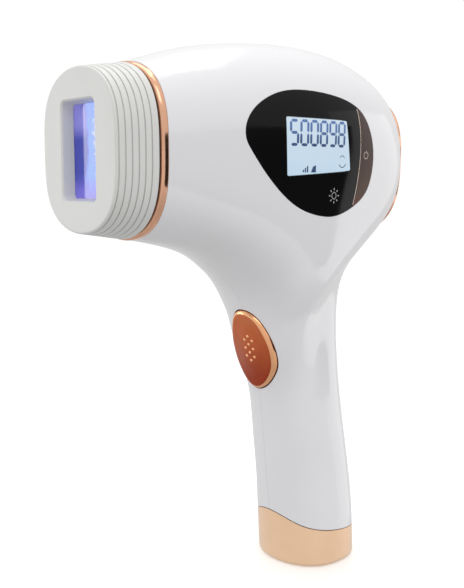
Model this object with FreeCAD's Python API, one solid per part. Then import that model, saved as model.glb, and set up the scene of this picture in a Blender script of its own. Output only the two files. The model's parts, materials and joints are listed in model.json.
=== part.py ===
"""IPL hair remover: a pistol-shaped handset with a lift-off lamp cartridge.

Frame: millimetres, +Z up. The origin is the centre of the foot, on the surface it stands on.
The treatment window faces -X, the display side faces -Y, and the trigger is under the head.
"""
import FreeCAD, Part
import math
import os

V = FreeCAD.Vector

# ---- driving dimensions -------------------------------------------------------------------------
# Cross-sections of the body, from the front ring over the head and down to the foot. Each is an
# oval between an inner point (underside, then front of the handle) and an outer point (top, then
# back of the handle), both in the mid-plane:
# inner x, inner z, outer x, outer z, half width at the inner and outer ends, squareness at both
STATIONS = [
    (-79.0, 120.8, -79.0, 173.8, 22.0, 22.0, 3.0, 3.0),
    (-66.0, 118.1, -62.0, 179.0, 24.0, 23.6, 4.2, 2.9),
    (-52.0, 113.4, -34.0, 183.2, 25.2, 25.0, 5.0, 2.8),
    (-43.2, 107.6, 0.0, 182.2, 25.8, 26.0, 5.6, 3.0),
    (-37.2, 102.0, 36.5, 162.6, 26.1, 21.1, 6.0, 3.3),
    (-33.3, 96.2, 42.0, 138.6, 24.5, 15.5, 6.2, 3.6),
    (-31.3, 90.2, 33.0, 125.3, 21.0, 9.9, 6.0, 3.8),
    (-29.9, 84.2, 17.7, 112.4, 18.5, 9.8, 5.4, 2.8),
    (-28.2, 76.3, 10.4, 102.0, 16.3, 11.2, 4.4, 3.0),
    (-25.0, 64.0, 7.8, 82.0, 13.8, 13.4, 3.2, 2.8),
    (-22.7, 47.5, 9.9, 61.0, 14.5, 14.2, 2.7, 2.6),
    (-21.1, 31.5, 12.9, 41.0, 15.0, 15.5, 2.4, 2.5),
    (-19.2, 16.0, 15.1, 20.0, 16.9, 16.9, 2.3, 2.5),
    (-17.7, 0.0, 15.6, 0.0, 17.5, 17.5, 2.3, 2.5),
]
SECTIONS, AROUND = 27, 24      # rows of the smooth form along its length, and steps round each half
WALL = 2.2                     # moulded wall of the shells
FOOT_FLOOR = 2.6               # floor of the foot cap
# the foot's seam, seen from the side: x, z
FOOT_SEAM = [(-24.0, 24.6), (-19.4, 19.8), (-15.2, 16.3), (-9.4, 14.3), (-0.4, 12.7),
             (8.0, 11.7), (20.0, 11.0)]
SEAM_GAP = 0.3
FOOT_ROUND = 1.6

HEAD_Z = 147.2                 # height of the lamp's axis
RING_X0, RING_X1 = -81.1, -79.0
RING_ROUND = 1.1
SEAL_THICK, SEAL_IN = 0.3, 1.6     # thickness of the seal, and how far it is inside the ring's edge
RING_H, RING_W, RING_N = 26.5, 21.9, 3.0     # half height, half width, squareness
BORE_H, BORE_W = 22.7, 17.7    # hole in the front ring that the cartridge plugs into

FACE_X = -95.5                 # the treatment face
CART_X1 = -81.8                # back of the cartridge's outer shell
FACE_H, FACE_W, FACE_N = 24.0, 20.4, 3.3
FACE_ROUND = 0.7
CART_H, CART_W = 26.0, 21.3
RIBS, RIB_DEPTH, RIB_GROOVE = 6, 0.32, 0.36
RIB_X0, RIB_PITCH = -94.7, 2.1
WINDOW_W, WINDOW_H, WINDOW_DEPTH = 18.6, 29.0, 3.8
WINDOW_TAPER, WINDOW_LIP = 0.8, 0.45
WINDOW_R, WINDOW_R_DEEP = 1.8, 1.2           # corner radii of the recess, at the face and at the glass
CART_WALL = 2.4
GLASS_W, GLASS_H, GLASS_THICK = 20.4, 32.4, 1.2
FRAME_LIP, FRAME_THICK = 1.3, 2.4            # how far the glass frame stands out round the glass
LAMP_X, LAMP_R, LAMP_HALF = -80.4, 2.5, 17.5
REFLECTOR_X1, REFLECTOR_LENGTH = -75.6, 30.0
PLUG_X1 = -72.0
PLUG_WALL = 1.6
BLADE_Y, BLADE_HALF_W, BLADE_HALF_T, BLADE_LONG = 11.0, 2.0, 0.4, 4.0   # the cartridge's contacts
SOCKET_X1 = -68.4

REAR_X, REAR_Z, REAR_TILT = 28.2, 144.9, 2.0      # centre and lean of the flat back of the head
REAR_H, REAR_W, REAR_N = 24.6, 16.8, 2.8          # the rear ring's outline
REAR_PROUD = 1.4               # how far the ring stands behind the shells
REAR_LIP, REAR_TUBE = 2.4, 1.6     # how far the ring overhangs its tube, and the tube's wall
GRILLE_H, GRILLE_W = REAR_H - REAR_LIP - REAR_TUBE, REAR_W - REAR_LIP - REAR_TUBE
TUBE_X0 = -9.5                 # inner end of the rear ring's tube
GRILLE_PITCH, GRILLE_SLOT = 4.1, 2.1
FAN_X0 = -26.0                 # the fan's front face, along the rear axis
FAN_SIZE, FAN_DEPTH, FAN_BORE = 25.0, 10.0, 11.8
FAN_BLADES, BLADE_TWIST = 7, 38.0

# outline of the display lens, seen square on from the display side: x, z
LENS = [(-52.6, 153.6), (-48.8, 160.3), (-40.2, 165.0), (-29.6, 166.8), (-16.6, 166.1),
        (-5.9, 163.8), (1.4, 158.9), (5.7, 149.1), (5.0, 138.9), (-0.4, 132.2),
        (-11.6, 127.7), (-21.8, 127.5), (-33.1, 131.1), (-43.5, 139.5), (-50.4, 147.8)]
# the line between the lens and its crescent power button
CRESCENT = [(-6.4, 170.0), (-1.9, 148.0), (-8.6, 122.0)]
# corners of the display's opening: x, z
LCD = [(-36.8, 158.4), (-9.5, 158.2), (-6.8, 141.9), (-36.5, 140.1)]
LCD_CORNER, LCD_GAP = 0.6, 0.14
LCD_SHELF = -22.2              # front of the display pane's flange, behind the lens
LENS_THICK = 2.0
BUTTON_X, BUTTON_Z = 1.8, 147.0     # the power button's stem and switch

TRIGGER_POS = (-29.0, 80.4)    # x, z of the trigger's centre on the handle
TRIGGER_LEAN = 14.0            # degrees that the trigger's push direction rises by
TRIGGER_PROUD = 1.1
# half outline of the trigger, seen square on: half width, height along the handle
TRIGGER_HALF = [(0.0, 14.6), (3.7, 13.8), (6.5, 11.4), (8.6, 7.7), (10.2, 2.9),
                (10.5, -1.6), (9.6, -6.3), (6.7, -10.9), (3.5, -13.6), (0.0, -14.6)]
TRIGGER_GAP = 0.28

# screws that join the two shells: x, z, and how far out the head is seated
SHELL_SCREWS = [(-58.0, 167.5, 9.0), (-3.0, 169.5, 9.0), (-62.5, 124.5, 9.0),
                (-16.0, 104.0, 8.0), (-16.8, 56.0, 7.0), (7.6, 27.0, 7.0)]
SCREW_R, SCREW_HEAD_R, SCREW_HEAD_H = 1.1, 2.1, 1.6
BOARD_SCREWS = (28.0, 59.0)    # heights of the main board's screws
BOSS_R = 3.0

CAP_AT, CAP_R, CAP_HALF = (-30.0, 5.0, 150.0), 12.0, 21.0      # flash capacitor: centre, radius, half length
CLIP_HALF, CLIP_WALL = 4.0, 1.2
BOARD_X0, BOARD_X1, BOARD_Y, BOARD_THICK = -12.5, 3.5, 3.0, 1.6     # main board, across the handle
BOARD_Z0, BOARD_Z1 = 24.0, 98.0
SCREW_X = -4.5                 # x of the main board's screws and of the winding
JACK_R, JACK_HOLE, JACK_BORE = 5.5, 5.6, 3.1
JACK_Z0, JACK_Z1 = 0.6, 14.0

BIG = 400.0
PARTS = "parts"


# ---- helpers ------------------------------------------------------------------------------------
def box(x0, x1, y0, y1, z0, z1):
    return Part.makeBox(x1 - x0, y1 - y0, z1 - z0, V(x0, y0, z0))


def rod(r, start, end):
    """A cylinder from one point to another."""
    a, b = V(*start), V(*end)
    return Part.makeCylinder(r, (b - a).Length, a, b - a)


def pipe(r_out, r_in, start, end):
    return rod(r_out, start, end).cut(rod(r_in, start, end))


def fuse_all(shapes):
    result = shapes[0]
    for shape in shapes[1:]:
        result = result.fuse(shape)
    return result.removeSplitter()


def superellipse(half_t, half_w, n, count=32):
    """Points (t, w) round an oval: t along its length, w across it."""
    points = []
    for k in range(count):
        phi = 2.0 * math.pi * k / count
        t = math.cos(phi)
        w = math.sqrt(max(0.0, 1.0 - abs(t) ** n))
        points.append((half_t * t, half_w * w * (1.0 if math.sin(phi) >= 0 else -1.0)))
    return points


def closed_wire(points):
    """A smooth closed curve through points, with evenly spaced knots."""
    curve = Part.BSplineCurve()
    steps = [float(k) for k in range(len(points) + 1)]
    curve.interpolate(Points=[V(*p) for p in points], PeriodicFlag=True, Parameters=steps)
    return Part.Wire([curve.toShape()])


def oval_wire(x, half_h, half_w, n, zc=HEAD_Z):
    return closed_wire([(x, w, zc + t) for t, w in superellipse(half_h, half_w, n)])


def oval_prism(x0, x1, half_h, half_w, n=RING_N, zc=HEAD_Z):
    face = Part.Face(oval_wire(x0, half_h, half_w, n, zc))
    return face.extrude(V(x1 - x0, 0, 0))


def oval_loft(rings, zc=HEAD_Z):
    """A solid through ovals given as (x, half height, half width, squareness)."""
    return Part.makeLoft([oval_wire(x, h, w, n, zc) for x, h, w, n in rings], True, True)


def rounded_rim(x, half_h, half_w, n, r, steps=5):
    """Rings that round the edge of an oval whose flat end is at x; r is negative for an end at +X."""
    rings = []
    for k in range(steps + 1):
        a = math.pi / 2.0 * k / steps
        inset = abs(r) * (1.0 - math.sin(a))
        rings.append((x + r * (1.0 - math.cos(a)), half_h - inset, half_w - inset, n))
    return rings


def spline_slopes(knots, values):
    """Second derivatives of the natural cubic spline through (knots, values)."""
    n = len(knots)
    upper, rhs = [0.0] * n, [0.0] * n
    for i in range(1, n - 1):
        h0, h1 = knots[i] - knots[i - 1], knots[i + 1] - knots[i]
        bend = 6.0 * ((values[i + 1] - values[i]) / h1 - (values[i] - values[i - 1]) / h0)
        pivot = 2.0 * (h0 + h1) - h0 * upper[i - 1]
        upper[i] = h1 / pivot
        rhs[i] = (bend - h0 * rhs[i - 1]) / pivot
    second = [0.0] * n
    for i in range(n - 2, 0, -1):
        second[i] = rhs[i] - upper[i] * second[i + 1]
    return second


def smooth_stations(count):
    """Evenly spaced ovals on the smooth form through STATIONS."""
    knots = [0.0]
    for a, b in zip(STATIONS, STATIONS[1:]):
        inner = math.hypot(b[0] - a[0], b[1] - a[1])
        outer = math.hypot(b[2] - a[2], b[3] - a[3])
        knots.append(knots[-1] + (inner + outer) / 2.0)
    columns = [[row[c] for row in STATIONS] for c in range(8)]
    seconds = [spline_slopes(knots, column) for column in columns]
    rows = []
    for k in range(count):
        u = knots[-1] * k / (count - 1.0)
        i = min(len(knots) - 2, max(j for j in range(len(knots)) if knots[j] <= u + 1e-9))
        h = knots[i + 1] - knots[i]
        b = (u - knots[i]) / h
        a = 1.0 - b
        row = []
        for column, second in zip(columns, seconds):
            value = a * column[i] + b * column[i + 1]
            value += ((a ** 3 - a) * second[i] + (b ** 3 - b) * second[i + 1]) * h * h / 6.0
            row.append(value)
        rows.append(row)
    return rows


def half_body(side, grow=0.0):
    """One half of the outer form (side is -1 or 1), grown by a set amount, cut flat at y = 0."""
    grid = []
    for xa, za, xb, zb, w_inner, w_outer, n_inner, n_outer in smooth_stations(SECTIONS):
        length = math.hypot(xb - xa, zb - za)
        ux, uz = (xb - xa) / length, (zb - za) / length
        row = []
        for k in range(AROUND + 1):
            t = math.cos(math.pi * k / AROUND)
            q = (t + 1.0) / 2.0
            q = q * q * (3.0 - 2.0 * q)
            width = w_inner + (w_outer - w_inner) * q + grow
            n = n_inner + (n_outer - n_inner) * q
            w = 0.0 if k in (0, AROUND) else width * math.sqrt(1.0 - abs(t) ** n)
            reach = (length / 2.0 + grow) * t
            row.append(V((xa + xb) / 2.0 + reach * ux, side * w, (za + zb) / 2.0 + reach * uz))
        grid.append(row)
    surface = Part.BSplineSurface()
    surface.interpolate(grid)
    skin = Part.Face(surface)
    end_arcs = [e for e in skin.Edges if e.BoundBox.YLength > 5.0]
    rails = [e for e in skin.Edges if e.BoundBox.YLength < 1.0]
    chords = [Part.makeLine(e.Vertexes[0].Point, e.Vertexes[1].Point) for e in end_arcs]
    faces = [skin] + [Part.Face(Part.Wire([e, c])) for e, c in zip(end_arcs, chords)]
    faces.append(Part.Face(Part.Wire(Part.__sortEdges__(rails + chords))))
    shell = Part.makeShell(faces)
    shell.sewShape()
    solid = Part.makeSolid(shell)
    if solid.Volume < 0:
        solid.reverse()
    return solid


def biggest(shape):
    return max(shape.Solids, key=lambda s: s.Volume)


def rear_frame(shape):
    """Move a shape made about the X axis onto the rear grille's leaning axis."""
    moved = shape.copy()
    moved.rotate(V(0, 0, 0), V(0, 1, 0), REAR_TILT)
    moved.translate(V(REAR_X, 0, REAR_Z))
    return moved


def trigger_frame(shape):
    """Move a shape whose local +X is the push direction onto the trigger's axis."""
    moved = shape.copy()
    moved.rotate(V(0, 0, 0), V(0, 1, 0), -TRIGGER_LEAN)
    moved.translate(V(TRIGGER_POS[0], 0, TRIGGER_POS[1]))
    return moved


def try_fillet(shape, radius, pick):
    """Round the edges that pick accepts, or leave the shape as it is when they won't round."""
    edges = [e for e in shape.Edges if pick(e)]
    try:
        rounded = shape.makeFillet(radius, edges)
        if rounded.isValid() and rounded.Volume > 0.5 * shape.Volume:
            return rounded
    except Exception:
        pass
    print("edge left sharp")
    return shape


NODES = {}


def keep(name, shape):
    """Write one named piece, as plain solids."""
    solids = shape.Solids
    if not solids:
        raise RuntimeError("no solid in " + name)
    out = solids[0] if len(solids) == 1 else Part.makeCompound(solids)
    if not out.isValid():
        print("not valid:", name)
    NODES[name] = out
    out.exportStep(os.path.join(PARTS, name + ".step"))


# ---- body shells, lens and foot -----------------------------------------------------------------
def lens_prism(grow=0.0):
    xc = sum(p[0] for p in LENS) / len(LENS)
    zc = sum(p[1] for p in LENS) / len(LENS)
    points = []
    for x, z in LENS:
        reach = math.hypot(x - xc, z - zc)
        k = (reach + grow) / reach
        points.append((xc + (x - xc) * k, -34.0, zc + (z - zc) * k))
    return Part.Face(closed_wire(points)).extrude(V(0, 20.0, 0))


def crescent_side(shift):
    """Everything behind (+X of) the crescent line, as a tall prism."""
    a, m, b = [V(x + shift, -34.0, z) for x, z in CRESCENT]
    arc = Part.Arc(a, m, b).toShape()
    far_b, far_a = V(40.0, -34.0, CRESCENT[2][1]), V(40.0, -34.0, CRESCENT[0][1])
    sides = Part.makePolygon([b, far_b, far_a, a])
    return Part.Face(Part.Wire([arc] + sides.Edges)).extrude(V(0, 20.0, 0))


def trigger_prism(grow, x0, x1):
    half = TRIGGER_HALF
    ring = half + [(-y, z) for y, z in reversed(half[1:-1])]
    points = []
    for y, z in ring:
        reach = math.hypot(y, z)
        k = (reach + grow) / reach
        points.append((x0, y * k, z * k))
    return trigger_frame(Part.Face(closed_wire(points)).extrude(V(x1 - x0, 0, 0)))


def below_seam(drop=0.0):
    """The space under the foot's curved seam."""
    curve = Part.BSplineCurve()
    curve.interpolate([V(x, -BIG, z - drop) for x, z in FOOT_SEAM])
    (xa, za), (xb, zb) = FOOT_SEAM[0], FOOT_SEAM[-1]
    corners = [(xb, zb - drop), (xb, -BIG), (xa, -BIG), (xa, za - drop)]
    under = Part.makePolygon([V(x, -BIG, z) for x, z in corners])
    return Part.Face(Part.Wire([curve.toShape()] + under.Edges)).extrude(V(0, 2.0 * BIG, 0))


def behind_head():
    """The space behind the flat back of the head."""
    return rear_frame(box(0.0, BIG, -BIG, BIG, -BIG, BIG))


def lcd_prism(gap, y0, y1):
    """The display's opening as a block from y0 to y1, with its sides moved in by a gap."""
    xc = sum(p[0] for p in LCD) / 4.0
    zc = sum(p[1] for p in LCD) / 4.0
    points = [V(x - math.copysign(gap, x - xc), y0, z - math.copysign(gap, z - zc)) for x, z in LCD]
    block = Part.Face(Part.makePolygon(points + points[:1])).extrude(V(0, y1 - y0, 0))
    return try_fillet(block, LCD_CORNER, lambda e: e.BoundBox.YLength > 0.9 * (y1 - y0))


def boss(x, z, side, outer):
    """A screw boss from the parting plane to the wall of one shell."""
    tower = rod(BOSS_R, (x, 0, z), (x, side * 40.0, z))
    return tower.common(outer)


def make_foot(outers, inners):
    foot = fuse_all([outers[side].common(below_seam(SEAM_GAP)) for side in (-1, 1)])
    foot = try_fillet(foot, FOOT_ROUND, lambda e: e.BoundBox.ZMax < 0.05)
    floor = box(-BIG, BIG, -BIG, BIG, -BIG, FOOT_FLOOR)
    for side in (-1, 1):
        foot = foot.cut(inners[side].cut(floor))
    keep("foot_cap", biggest(foot.cut(rod(JACK_HOLE, (0, 0, -1), (0, 0, FOOT_FLOOR + 1.0)))))


def make_shell(name, side, outer, inner):
    """One moulded half: wall, screw bosses and its share of the openings."""
    shell = biggest(outer.cut(inner).cut(below_seam()))
    shell = fuse_all([shell] + [boss(x, z, side, outer) for x, z, _ in SHELL_SCREWS])
    for x, z, seat in SHELL_SCREWS:
        if side > 0:
            shell = shell.cut(rod(SCREW_R + 0.1, (x, -1, z), (x, 40, z)))
            shell = shell.cut(rod(SCREW_HEAD_R + 0.3, (x, seat, z), (x, 40, z)))
        else:
            shell = shell.cut(rod(SCREW_R, (x, 1, z), (x, -9.0, z)))
    tube_h, tube_w = REAR_H - REAR_LIP + 0.05, REAR_W - REAR_LIP + 0.05
    shell = shell.cut(rear_frame(oval_prism(-14.0, 12.0, tube_h, tube_w, REAR_N, 0.0)))
    shell = shell.cut(behind_head())
    shell = shell.cut(trigger_prism(TRIGGER_GAP, -14.0, 8.0))
    if side < 0:
        shell = shell.cut(lens_prism(0.15))
    keep(name, biggest(shell))


def make_screws():
    screws = []
    for x, z, seat in SHELL_SCREWS:
        shank = rod(SCREW_R - 0.02, (x, -8.5, z), (x, seat, z))
        head = rod(SCREW_HEAD_R, (x, seat, z), (x, seat + SCREW_HEAD_H, z))
        slot = box(-1.4, 1.4, 0.8, 3.0, -0.3, 0.3).fuse(box(-0.3, 0.3, 0.8, 3.0, -1.4, 1.4))
        slot.translate(V(x, seat, z))
        screws.append(shank.fuse(head).cut(slot).removeSplitter())
    keep("shell_screws", Part.makeCompound(screws))


def make_lens(outer):
    """The flush display lens and the crescent button beside it."""
    plate = outer.cut(half_body(-1, -LENS_THICK)).common(lens_prism(0.0))
    bezel = biggest(plate.cut(crescent_side(0.0)))
    keep("display_lens", bezel.cut(lcd_prism(0.0, -40.0, 0.0)))
    button = biggest(plate.common(crescent_side(0.35)))
    stem = rod(1.6, (BUTTON_X, -23.4, BUTTON_Z), (BUTTON_X, -21.4, BUTTON_Z))
    keep("power_button", biggest(button.fuse(stem)).removeSplitter())


def make_case():
    outers = {side: half_body(side) for side in (-1, 1)}
    inners = {side: half_body(side, -WALL) for side in (-1, 1)}
    make_foot(outers, inners)
    make_shell("left_shell", -1, outers[-1], inners[-1])
    make_shell("right_shell", 1, outers[1], inners[1])
    make_screws()
    make_lens(outers[-1])


def make_trigger():
    halves = []
    for side in (-1, 1):
        skin = half_body(side, TRIGGER_PROUD).cut(half_body(side, -1.6))
        halves.append(biggest(skin.common(trigger_prism(0.0, -12.0, 6.0))))
    post = trigger_frame(rod(2.0, (1.2, 0, 0), (3.6, 0, 0)))
    keep("trigger_button", biggest(fuse_all(halves + [post])))
    body = trigger_frame(fuse_all([box(5.2, 8.6, -3, 3, -3, 3), rod(1.7, (4.6, 0, 0), (5.4, 0, 0))]))
    keep("trigger_switch", body)
    keep("trigger_board", trigger_frame(box(8.6, 9.8, -6.5, 6.5, -8, 8)))


# ---- front: rings, socket and lamp cartridge ----------------------------------------------------
def make_front_ring():
    rim = rounded_rim(RING_X0, RING_H, RING_W, RING_N, RING_ROUND)
    ring = oval_loft(rim + [(RING_X1, RING_H, RING_W, RING_N)])
    keep("front_ring", ring.cut(oval_prism(RING_X0 - 1, RING_X1 + 1, BORE_H, BORE_W)))
    seal = oval_prism(RING_X0 - SEAL_THICK, RING_X0, RING_H - SEAL_IN, RING_W - SEAL_IN)
    keep("seal_ring", seal.cut(oval_prism(RING_X0 - 1, RING_X0 + 1, BORE_H + 0.3, BORE_W + 0.3)))


def cart_size(x):
    """Half height, half width and squareness of the cartridge's outside at a given x."""
    k = (x - FACE_X) / (CART_X1 - FACE_X)
    pairs = ((FACE_H, CART_H), (FACE_W, CART_W), (FACE_N, RING_N))
    return [front + (back - front) * k for front, back in pairs]


def rounded_rect_wire(x, half_w, half_h, r):
    """A rounded rectangle in a plane of constant x, about the lamp's axis."""
    z0, z1 = HEAD_Z - half_h, HEAD_Z + half_h
    corners = [(half_w - r, z1 - r, 0), (r - half_w, z1 - r, 90), (r - half_w, z0 + r, 180),
               (half_w - r, z0 + r, 270)]
    ends = []
    for y, z, start in corners:
        turns = [math.radians(start + a) for a in (0, 45, 90)]
        ends.append([V(x, y + r * math.cos(a), z + r * math.sin(a)) for a in turns])
    edges = []
    for k, pts in enumerate(ends):
        edges.append(Part.Arc(*pts).toShape())
        edges.append(Part.makeLine(pts[2], ends[(k + 1) % 4][0]))
    return Part.Wire(edges)


def make_cartridge_shell():
    rim = rounded_rim(FACE_X, FACE_H, FACE_W, FACE_N, FACE_ROUND)
    shell = oval_loft(rim + [(CART_X1, CART_H, CART_W, RING_N)])
    for k in range(RIBS):
        x = RIB_X0 + RIB_PITCH * k
        h, w, n = cart_size(x)
        band = oval_prism(x, x + RIB_GROOVE, h + 3, w + 3, n)
        shell = shell.cut(band.cut(oval_prism(x - 1, x + 2, h - RIB_DEPTH, w - RIB_DEPTH, n)))
    hw, hh = WINDOW_W / 2, WINDOW_H / 2
    pocket_x = FACE_X + WINDOW_DEPTH
    wide = rounded_rect_wire(FACE_X - 0.01, hw, hh, WINDOW_R)
    deep = rounded_rect_wire(pocket_x + 0.01, hw - WINDOW_TAPER, hh - WINDOW_TAPER, WINDOW_R_DEEP)
    recess = Part.makeLoft([wide, deep], True, True)
    outer = rounded_rect_wire(FACE_X - 0.05, hw + WINDOW_LIP, hh + WINDOW_LIP, WINDOW_R + WINDOW_LIP)
    inner = rounded_rect_wire(FACE_X + WINDOW_LIP, hw - 0.02, hh - 0.02, WINDOW_R)
    lip = Part.makeLoft([outer, inner], True, True)
    pocket = oval_prism(pocket_x, CART_X1 + 1, FACE_H - CART_WALL, FACE_W - CART_WALL)
    keep("cartridge_shell", biggest(shell.cut(recess).cut(lip).cut(pocket)))


def centred(x0, x1, w, h):
    """A block from x0 to x1 about the lamp's axis, with its full width and height."""
    return box(x0, x1, -w / 2, w / 2, HEAD_Z - h / 2, HEAD_Z + h / 2)


def make_glass(x0):
    """The filter glass, the frame that holds it, and the reflector trough behind them."""
    keep("filter_glass", centred(x0, x0 + GLASS_THICK, GLASS_W, GLASS_H))
    frame = centred(x0, x0 + FRAME_THICK, GLASS_W + 2 * FRAME_LIP, GLASS_H + 2 * FRAME_LIP)
    frame = frame.cut(centred(x0 - 1, x0 + GLASS_THICK, GLASS_W + 0.2, GLASS_H + 0.2))
    keep("glass_frame", frame.cut(centred(x0 - 1, x0 + FRAME_THICK + 1, 17.2, 29.2)))

    rx0, rx1 = x0 + FRAME_THICK + 0.1, REFLECTOR_X1
    outline = [(rx0, 9.4), (rx1 - 2.2, 6.2), (rx1, 3.2)]
    inside = [(rx0 - 1, 8.7), (rx1 - 2.9, 5.5), (rx1 - 0.8, 2.7)]
    solid = trough(outline, HEAD_Z - REFLECTOR_LENGTH / 2, REFLECTOR_LENGTH)
    hollow = trough(inside, HEAD_Z - REFLECTOR_LENGTH / 2 - 1, REFLECTOR_LENGTH + 2)
    keep("reflector", biggest(solid.cut(hollow)))


def trough(half, z0, length):
    """An upright prism whose flat outline is given as half of it: x, y."""
    ring = [(x, -y) for x, y in half] + half[::-1]
    return Part.Face(Part.makePolygon([V(x, y, z0) for x, y in ring + ring[:1]])).extrude(V(0, 0, length))


def make_lamp():
    keep("lamp_tube", rod(LAMP_R, (LAMP_X, 0, HEAD_Z - LAMP_HALF), (LAMP_X, 0, HEAD_Z + LAMP_HALF)))
    caps, holders = [], []
    for s in (-1, 1):
        z = HEAD_Z + s * LAMP_HALF
        cap = rod(LAMP_R, (LAMP_X, 0, z), (LAMP_X, 0, z + s * 2.0))
        tip = rod(0.6, (LAMP_X, 0, z + s * 2.0), (LAMP_X, 0, z + s * 2.7))
        caps.append(fuse_all([cap, tip]))
        z_in, z_out = HEAD_Z + s * 15.6, HEAD_Z + s * 19.0
        block = box(LAMP_X - 3.6, LAMP_X + 3.6, -6, 6, min(z_in, z_out), max(z_in, z_out))
        bore = rod(LAMP_R + 0.05, (LAMP_X, 0, HEAD_Z - 25), (LAMP_X, 0, HEAD_Z + 25))
        holders.append(block.cut(bore))
    keep("lamp_electrodes", Part.makeCompound(caps))
    keep("lamp_holders", Part.makeCompound(holders))


def make_plug():
    """The plug that carries the lamp into the head, and its two contact blades."""
    base = oval_prism(CART_X1, PLUG_X1, BORE_H - 0.35, BORE_W - 0.35)
    base = base.cut(oval_prism(CART_X1 - 1, PLUG_X1 - PLUG_WALL, BORE_H - 1.9, BORE_W - 1.9))
    cheeks = [box(-85.4, PLUG_X1 - 1.0, y, y + 1.4, HEAD_Z - 10, HEAD_Z + 10) for y in (-12.0, 10.6)]
    base = fuse_all([base] + cheeks)
    for k in range(-3, 4):
        z = HEAD_Z + 4.4 * k
        base = base.cut(box(PLUG_X1 - 2.0, PLUG_X1 + 1, -8.0, 8.0, z - 1.1, z + 1.1))
    keep("cartridge_base", biggest(base))
    blades = [blade_block(s, PLUG_X1, PLUG_X1 + BLADE_LONG, 0.0, 0.0) for s in (-1, 1)]
    keep("cartridge_contacts", Part.makeCompound(blades))


def blade_block(s, x0, x1, more_w, more_t):
    """A block round one contact blade's place, wider and thicker than it by a set amount."""
    w, t = BLADE_HALF_W + more_w, BLADE_HALF_T + more_t
    return box(x0, x1, s * BLADE_Y - w, s * BLADE_Y + w, HEAD_Z - t, HEAD_Z + t)


def make_socket():
    socket = oval_prism(RING_X1, SOCKET_X1, RING_H - WALL - 0.25, RING_W - WALL - 0.25)
    socket = socket.cut(oval_prism(RING_X1 - 1, PLUG_X1 + 0.4, BORE_H, BORE_W))
    socket = socket.cut(box(PLUG_X1 - 1, SOCKET_X1 + 1, -8.2, 8.2, HEAD_Z - 15, HEAD_Z + 15))
    for s in (-1, 1):
        socket = socket.cut(blade_block(s, PLUG_X1 - 1, SOCKET_X1 + 1, 0.3, 0.4))
    keep("cartridge_socket", biggest(socket))
    springs = []
    for s in (-1, 1):
        block = blade_block(s, SOCKET_X1, SOCKET_X1 + 4.0, 1.0, 2.2)
        springs.append(block.cut(blade_block(s, SOCKET_X1 - 1, SOCKET_X1 + 2.0, 0.3, 0.4)))
    keep("socket_contacts", Part.makeCompound(springs))


# ---- rear: ring, grille and fan -----------------------------------------------------------------
def make_rear():
    rim = rounded_rim(REAR_PROUD, REAR_H, REAR_W, REAR_N, -0.6)
    flange = oval_loft([(0.0, REAR_H, REAR_W, REAR_N)] + rim[::-1], 0.0)
    tube = oval_prism(TUBE_X0, 0.5, REAR_H - REAR_LIP, REAR_W - REAR_LIP, REAR_N, 0.0)
    bore = oval_prism(-12, 3, GRILLE_H, GRILLE_W, REAR_N, 0.0)
    keep("rear_ring", rear_frame(biggest(flange.fuse(tube).cut(bore))))
    plate = oval_prism(-3.0, -1.0, GRILLE_H - 0.05, GRILLE_W - 0.05, REAR_N, 0.0)
    slots = []
    for k in range(-4, 5):
        z = GRILLE_PITCH * k
        slots.append(box(-5, 2, -BIG, BIG, z - GRILLE_SLOT / 2, z + GRILLE_SLOT / 2))
    inside = oval_prism(-5, 2, GRILLE_H - 1.8, GRILLE_W - 1.8, REAR_N, 0.0)
    rib = box(-5, 2, -0.8, 0.8, -BIG, BIG)
    plate = plate.cut(Part.makeCompound(slots).common(inside).cut(rib))
    keep("rear_grille", rear_frame(biggest(plate)))


def make_fan():
    x0, x1, s = FAN_X0, FAN_X0 + FAN_DEPTH, FAN_SIZE / 2
    frame = box(x0, x1, -s, s, -s, s).cut(rod(FAN_BORE, (x0 - 1, 0, 0), (x1 + 1, 0, 0)))
    struts = [rod(5.2, (x0, 0, 0), (x0 + 1.4, 0, 0))]
    for k in range(3):
        strut = box(x0, x0 + 1.4, -0.8, 0.8, 4.0, FAN_BORE + 0.4)
        strut.rotate(V(0, 0, 0), V(1, 0, 0), 120.0 * k)
        struts.append(strut)
    keep("fan_frame", rear_frame(fuse_all([frame] + struts)))
    hub = [rod(5.0, (x0 + 1.9, 0, 0), (x1 - 0.6, 0, 0))]
    for k in range(FAN_BLADES):
        blade = box(-3.0, 3.0, -0.45, 0.45, 4.4, FAN_BORE - 0.7)
        blade.rotate(V(0, 0, 0), V(0, 0, 1), BLADE_TWIST)
        blade.translate(V(x0 + 5.6, 0, 0))
        blade.rotate(V(0, 0, 0), V(1, 0, 0), 360.0 / FAN_BLADES * k)
        hub.append(blade)
    keep("fan_rotor", rear_frame(fuse_all(hub)))


# ---- electronics --------------------------------------------------------------------------------
def make_display():
    x0, x1 = min(p[0] for p in LCD), max(p[0] for p in LCD)
    z0, z1 = min(p[1] for p in LCD), max(p[1] for p in LCD)
    glass = half_body(-1, -0.12).common(lcd_prism(LCD_GAP, -34.0, LCD_SHELF + 0.1))
    flange = box(x0 - 1.6, x1 + 1.6, LCD_SHELF, LCD_SHELF + 1.2, z0 - 1.6, z1 + 1.6)
    keep("lcd_pane", fuse_all([glass, flange]))
    back = LCD_SHELF + 1.2
    keep("lcd_backlight", box(x0 - 1.0, x1 + 1.0, back, back + 2.4, z0 - 1.0, z1 + 1.0))
    keep("display_board", box(-42.0, 5.0, -18.6, -17.4, 134.0, 162.0))
    switch = fuse_all([box(BUTTON_X - 3, BUTTON_X + 3, -20.4, -18.6, BUTTON_Z - 3, BUTTON_Z + 3),
                       rod(1.5, (BUTTON_X, -20.7, BUTTON_Z), (BUTTON_X, -20.3, BUTTON_Z))])
    keep("power_switch", switch)


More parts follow.
